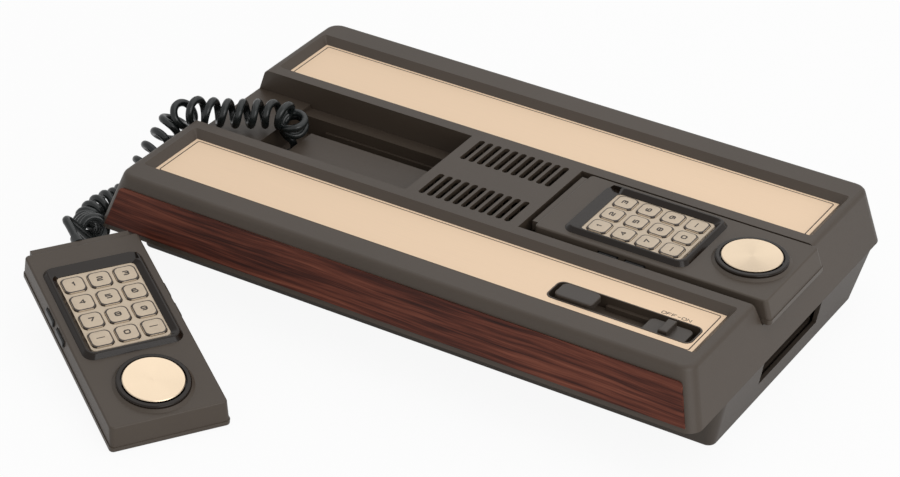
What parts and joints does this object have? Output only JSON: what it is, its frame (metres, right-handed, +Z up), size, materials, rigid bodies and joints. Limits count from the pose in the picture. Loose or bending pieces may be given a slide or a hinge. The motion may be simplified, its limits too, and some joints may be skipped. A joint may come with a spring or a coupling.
{
  "type": "video game console",
  "caption": "Low oblong home video game console with gold plates, a wood front panel and keypad hand controllers, one in its tray and one out on its coiled cord",
  "frame": {"origin": "on the table, in the plane of the four feet, under the middle of the console", "axes": "X along the console to the right, Y to the back, Z up"},
  "size_m": [0.4187, 0.3955, 0.0752],
  "materials": {
    "housing_plastic": "dark brown-grey moulded plastic with a fine texture",
    "base_plastic": "darker brown-grey moulded plastic",
    "gold_metal": "pale gold anodised sheet with a fine brushed grain",
    "wood_foil": "dark red-brown rosewood pattern with a satin lacquer",
    "foot_rubber": "black rubber",
    "screw_steel": "zinc-plated steel",
    "board_laminate": "green-brown circuit laminate",
    "core_steel": "varnished steel laminations",
    "black_plastic": "black plastic",
    "jack_metal": "bright nickel plate",
    "switch_plastic": "dark brown-grey plastic, satin",
    "cord_vinyl": "glossy black vinyl",
    "gold_film": "gold printed film over embossed keys",
    "spun_metal": "gold anodised, spun",
    "side_button_plastic": "black plastic"
  },
  "bodies": {
    "console": {"top_housing": "housing_plastic", "bottom_housing": "base_plastic", "front_plate": "gold_metal", "rear_plate": "gold_metal", "wood_panel": "wood_foil", "rubber_feet": "foot_rubber", "housing_screws": "screw_steel", "main_board": "board_laminate", "power_transformer": "core_steel", "cartridge_socket": "black_plastic", "aerial_jack": "jack_metal", "cord_bushings": "cord_vinyl", "controller_cord": "cord_vinyl", "cord_tails": "cord_vinyl"},
    "reset_button": {"reset_button": "switch_plastic"},
    "power_slider": {"power_slider": "switch_plastic"},
    "channel_switch": {"channel_switch": "black_plastic"},
    "right_controller": {"right_upper_case": "housing_plastic", "right_lower_case": "base_plastic", "right_key_sheet": "gold_film"},
    "right_disc_pivot": {"right_disc_pivot": "black_plastic"},
    "right_direction_disc": {"right_direction_disc": "spun_metal"},
    "right_front_side_button_1": {"right_front_side_button_1": "side_button_plastic"},
    "right_rear_side_button_1": {"right_rear_side_button_1": "side_button_plastic"},
    "right_front_side_button_2": {"right_front_side_button_2": "side_button_plastic"},
    "right_rear_side_button_2": {"right_rear_side_button_2": "side_button_plastic"},
    "right_key_1": {"right_key_1": "gold_film"},
    "right_key_2": {"right_key_2": "gold_film"},
    "right_key_3": {"right_key_3": "gold_film"},
    "right_key_4": {"right_key_4": "gold_film"},
    "right_key_5": {"right_key_5": "gold_film"},
    "right_key_6": {"right_key_6": "gold_film"},
    "right_key_7": {"right_key_7": "gold_film"},
    "right_key_8": {"right_key_8": "gold_film"},
    "right_key_9": {"right_key_9": "gold_film"},
    "right_key_clear": {"right_key_clear": "gold_film"},
    "right_key_0": {"right_key_0": "gold_film"},
    "right_key_enter": {"right_key_enter": "gold_film"},
    "left_controller": {"left_upper_case": "housing_plastic", "left_lower_case": "base_plastic", "left_key_sheet": "gold_film", "left_cord_relief": "cord_vinyl"},
    "left_disc_pivot": {"left_disc_pivot": "black_plastic"},
    "left_direction_disc": {"left_direction_disc": "spun_metal"},
    "left_front_side_button_1": {"left_front_side_button_1": "side_button_plastic"},
    "left_rear_side_button_1": {"left_rear_side_button_1": "side_button_plastic"},
    "left_front_side_button_2": {"left_front_side_button_2": "side_button_plastic"},
    "left_rear_side_button_2": {"left_rear_side_button_2": "side_button_plastic"},
    "left_key_1": {"left_key_1": "gold_film"},
    "left_key_2": {"left_key_2": "gold_film"},
    "left_key_3": {"left_key_3": "gold_film"},
    "left_key_4": {"left_key_4": "gold_film"},
    "left_key_5": {"left_key_5": "gold_film"},
    "left_key_6": {"left_key_6": "gold_film"},
    "left_key_7": {"left_key_7": "gold_film"},
    "left_key_8": {"left_key_8": "gold_film"},
    "left_key_9": {"left_key_9": "gold_film"},
    "left_key_clear": {"left_key_clear": "gold_film"},
    "left_key_0": {"left_key_0": "gold_film"},
    "left_key_enter": {"left_key_enter": "gold_film"}
  },
  "joints": [
    {"name": "reset_button_press", "type": "slide", "parent": "console", "child": "reset_button", "axis": [0, 0, -1], "range_m": [0, 0.002], "stiffness_N_per_m": 400, "springref_m": -0.002},
    {"name": "power_slider_move", "type": "slide", "parent": "console", "child": "power_slider", "axis": [1, 0, 0], "range_m": [0, 0.0034]},
    {"name": "channel_switch_move", "type": "slide", "parent": "console", "child": "channel_switch", "axis": [1, 0, 0], "range_m": [0, 0.0046]},
    {"name": "right_controller_lift", "type": "slide", "parent": "console", "child": "right_controller", "axis": [0, 0, 1], "range_m": [0, 0.06]},
    {"name": "right_disc_tilt_lengthwise", "type": "hinge", "parent": "right_controller", "child": "right_disc_pivot", "pos_m": [0.1658, -0.0045, 0.0667], "axis": [0, 1, 0], "range_deg": [-4, 4], "stiffness_Nm_per_rad": 0.6},
    {"name": "right_disc_tilt_sideways", "type": "hinge", "parent": "right_disc_pivot", "child": "right_direction_disc", "pos_m": [0.1658, -0.0045, 0.0667], "axis": [1, 0, 0], "range_deg": [-4, 4], "stiffness_Nm_per_rad": 0.6},
    {"name": "right_front_side_button_1_press", "type": "slide", "parent": "right_controller", "child": "right_front_side_button_1", "axis": [0, 1, 0], "range_m": [0, 0.001], "stiffness_N_per_m": 350, "springref_m": -0.002},
    {"name": "right_rear_side_button_1_press", "type": "slide", "parent": "right_controller", "child": "right_rear_side_button_1", "axis": [0, -1, 0], "range_m": [0, 0.001], "stiffness_N_per_m": 350, "springref_m": -0.002},
    {"name": "right_front_side_button_2_press", "type": "slide", "parent": "right_controller", "child": "right_front_side_button_2", "axis": [0, 1, 0], "range_m": [0, 0.001], "stiffness_N_per_m": 350, "springref_m": -0.002},
    {"name": "right_rear_side_button_2_press", "type": "slide", "parent": "right_controller", "child": "right_rear_side_button_2", "axis": [0, -1, 0], "range_m": [0, 0.001], "stiffness_N_per_m": 350, "springref_m": -0.002},
    {"name": "right_key_1_press", "type": "slide", "parent": "right_controller", "child": "right_key_1", "axis": [0, 0, -1], "range_m": [0, 0.0006], "stiffness_N_per_m": 250, "springref_m": -0.0015},
    {"name": "right_key_2_press", "type": "slide", "parent": "right_controller", "child": "right_key_2", "axis": [0, 0, -1], "range_m": [0, 0.0006], "stiffness_N_per_m": 250, "springref_m": -0.0015},
    {"name": "right_key_3_press", "type": "slide", "parent": "right_controller", "child": "right_key_3", "axis": [0, 0, -1], "range_m": [0, 0.0006], "stiffness_N_per_m": 250, "springref_m": -0.0015},
    {"name": "right_key_4_press", "type": "slide", "parent": "right_controller", "child": "right_key_4", "axis": [0, 0, -1], "range_m": [0, 0.0006], "stiffness_N_per_m": 250, "springref_m": -0.0015},
    {"name": "right_key_5_press", "type": "slide", "parent": "right_controller", "child": "right_key_5", "axis": [0, 0, -1], "range_m": [0, 0.0006], "stiffness_N_per_m": 250, "springref_m": -0.0015},
    {"name": "right_key_6_press", "type": "slide", "parent": "right_controller", "child": "right_key_6", "axis": [0, 0, -1], "range_m": [0, 0.0006], "stiffness_N_per_m": 250, "springref_m": -0.0015},
    {"name": "right_key_7_press", "type": "slide", "parent": "right_controller", "child": "right_key_7", "axis": [0, 0, -1], "range_m": [0, 0.0006], "stiffness_N_per_m": 250, "springref_m": -0.0015},
    {"name": "right_key_8_press", "type": "slide", "parent": "right_controller", "child": "right_key_8", "axis": [0, 0, -1], "range_m": [0, 0.0006], "stiffness_N_per_m": 250, "springref_m": -0.0015},
    {"name": "right_key_9_press", "type": "slide", "parent": "right_controller", "child": "right_key_9", "axis": [0, 0, -1], "range_m": [0, 0.0006], "stiffness_N_per_m": 250, "springref_m": -0.0015},
    {"name": "right_key_clear_press", "type": "slide", "parent": "right_controller", "child": "right_key_clear", "axis": [0, 0, -1], "range_m": [0, 0.0006], "stiffness_N_per_m": 250, "springref_m": -0.0015},
    {"name": "right_key_0_press", "type": "slide", "parent": "right_controller", "child": "right_key_0", "axis": [0, 0, -1], "range_m": [0, 0.0006], "stiffness_N_per_m": 250, "springref_m": -0.0015},
    {"name": "right_key_enter_press", "type": "slide", "parent": "right_controller", "child": "right_key_enter", "axis": [0, 0, -1], "range_m": [0, 0.0006], "stiffness_N_per_m": 250, "springref_m": -0.0015},
    {"name": "left_controller_lift", "type": "slide", "parent": "console", "child": "left_controller", "axis": [0.1539, -0.1038, 0.9826], "range_m": [0, 0.04]},
    {"name": "left_disc_tilt_lengthwise", "type": "hinge", "parent": "left_controller", "child": "left_disc_pivot", "pos_m": [-0.08333, -0.23081, 0.01915], "axis": [0.5592, 0.829, 0], "range_deg": [-4, 4], "stiffness_Nm_per_rad": 0.6},
    {"name": "left_disc_tilt_sideways", "type": "hinge", "parent": "left_disc_pivot", "child": "left_direction_disc", "pos_m": [-0.08333, -0.23081, 0.01915], "axis": [0.8146, -0.5495, -0.1857], "range_deg": [-4, 4], "stiffness_Nm_per_rad": 0.6},
    {"name": "left_front_side_button_1_press", "type": "slide", "parent": "left_controller", "child": "left_front_side_button_1", "axis": [0.5592, 0.829, 0], "range_m": [0, 0.001], "stiffness_N_per_m": 350, "springref_m": -0.002},
    {"name": "left_rear_side_button_1_press", "type": "slide", "parent": "left_controller", "child": "left_rear_side_button_1", "axis": [-0.5592, -0.829, 0], "range_m": [0, 0.001], "stiffness_N_per_m": 350, "springref_m": -0.002},
    {"name": "left_front_side_button_2_press", "type": "slide", "parent": "left_controller", "child": "left_front_side_button_2", "axis": [0.5592, 0.829, 0], "range_m": [0, 0.001], "stiffness_N_per_m": 350, "springref_m": -0.002},
    {"name": "left_rear_side_button_2_press", "type": "slide", "parent": "left_controller", "child": "left_rear_side_button_2", "axis": [-0.5592, -0.829, 0], "range_m": [0, 0.001], "stiffness_N_per_m": 350, "springref_m": -0.002},
    {"name": "left_key_1_press", "type": "slide", "parent": "left_controller", "child": "left_key_1", "axis": [-0.1539, 0.1038, -0.9826], "range_m": [0, 0.0006], "stiffness_N_per_m": 250, "springref_m": -0.0015},
    {"name": "left_key_2_press", "type": "slide", "parent": "left_controller", "child": "left_key_2", "axis": [-0.1539, 0.1038, -0.9826], "range_m": [0, 0.0006], "stiffness_N_per_m": 250, "springref_m": -0.0015},
    {"name": "left_key_3_press", "type": "slide", "parent": "left_controller", "child": "left_key_3", "axis": [-0.1539, 0.1038, -0.9826], "range_m": [0, 0.0006], "stiffness_N_per_m": 250, "springref_m": -0.0015},
    {"name": "left_key_4_press", "type": "slide", "parent": "left_controller", "child": "left_key_4", "axis": [-0.1539, 0.1038, -0.9826], "range_m": [0, 0.0006], "stiffness_N_per_m": 250, "springref_m": -0.0015},
    {"name": "left_key_5_press", "type": "slide", "parent": "left_controller", "child": "left_key_5", "axis": [-0.1539, 0.1038, -0.9826], "range_m": [0, 0.0006], "stiffness_N_per_m": 250, "springref_m": -0.0015},
    {"name": "left_key_6_press", "type": "slide", "parent": "left_controller", "child": "left_key_6", "axis": [-0.1539, 0.1038, -0.9826], "range_m": [0, 0.0006], "stiffness_N_per_m": 250, "springref_m": -0.0015},
    {"name": "left_key_7_press", "type": "slide", "parent": "left_controller", "child": "left_key_7", "axis": [-0.1539, 0.1038, -0.9826], "range_m": [0, 0.0006], "stiffness_N_per_m": 250, "springref_m": -0.0015},
    {"name": "left_key_8_press", "type": "slide", "parent": "left_controller", "child": "left_key_8", "axis": [-0.1539, 0.1038, -0.9826], "range_m": [0, 0.0006], "stiffness_N_per_m": 250, "springref_m": -0.0015},
    {"name": "left_key_9_press", "type": "slide", "parent": "left_controller", "child": "left_key_9", "axis": [-0.1539, 0.1038, -0.9826], "range_m": [0, 0.0006], "stiffness_N_per_m": 250, "springref_m": -0.0015},
    {"name": "left_key_clear_press", "type": "slide", "parent": "left_controller", "child": "left_key_clear", "axis": [-0.1539, 0.1038, -0.9826], "range_m": [0, 0.0006], "stiffness_N_per_m": 250, "springref_m": -0.0015},
    {"name": "left_key_0_press", "type": "slide", "parent": "left_controller", "child": "left_key_0", "axis": [-0.1539, 0.1038, -0.9826], "range_m": [0, 0.0006], "stiffness_N_per_m": 250, "springref_m": -0.0015},
    {"name": "left_key_enter_press", "type": "slide", "parent": "left_controller", "child": "left_key_enter", "axis": [-0.1539, 0.1038, -0.9826], "range_m": [0, 0.0006], "stiffness_N_per_m": 250, "springref_m": -0.0015}
  ]
}
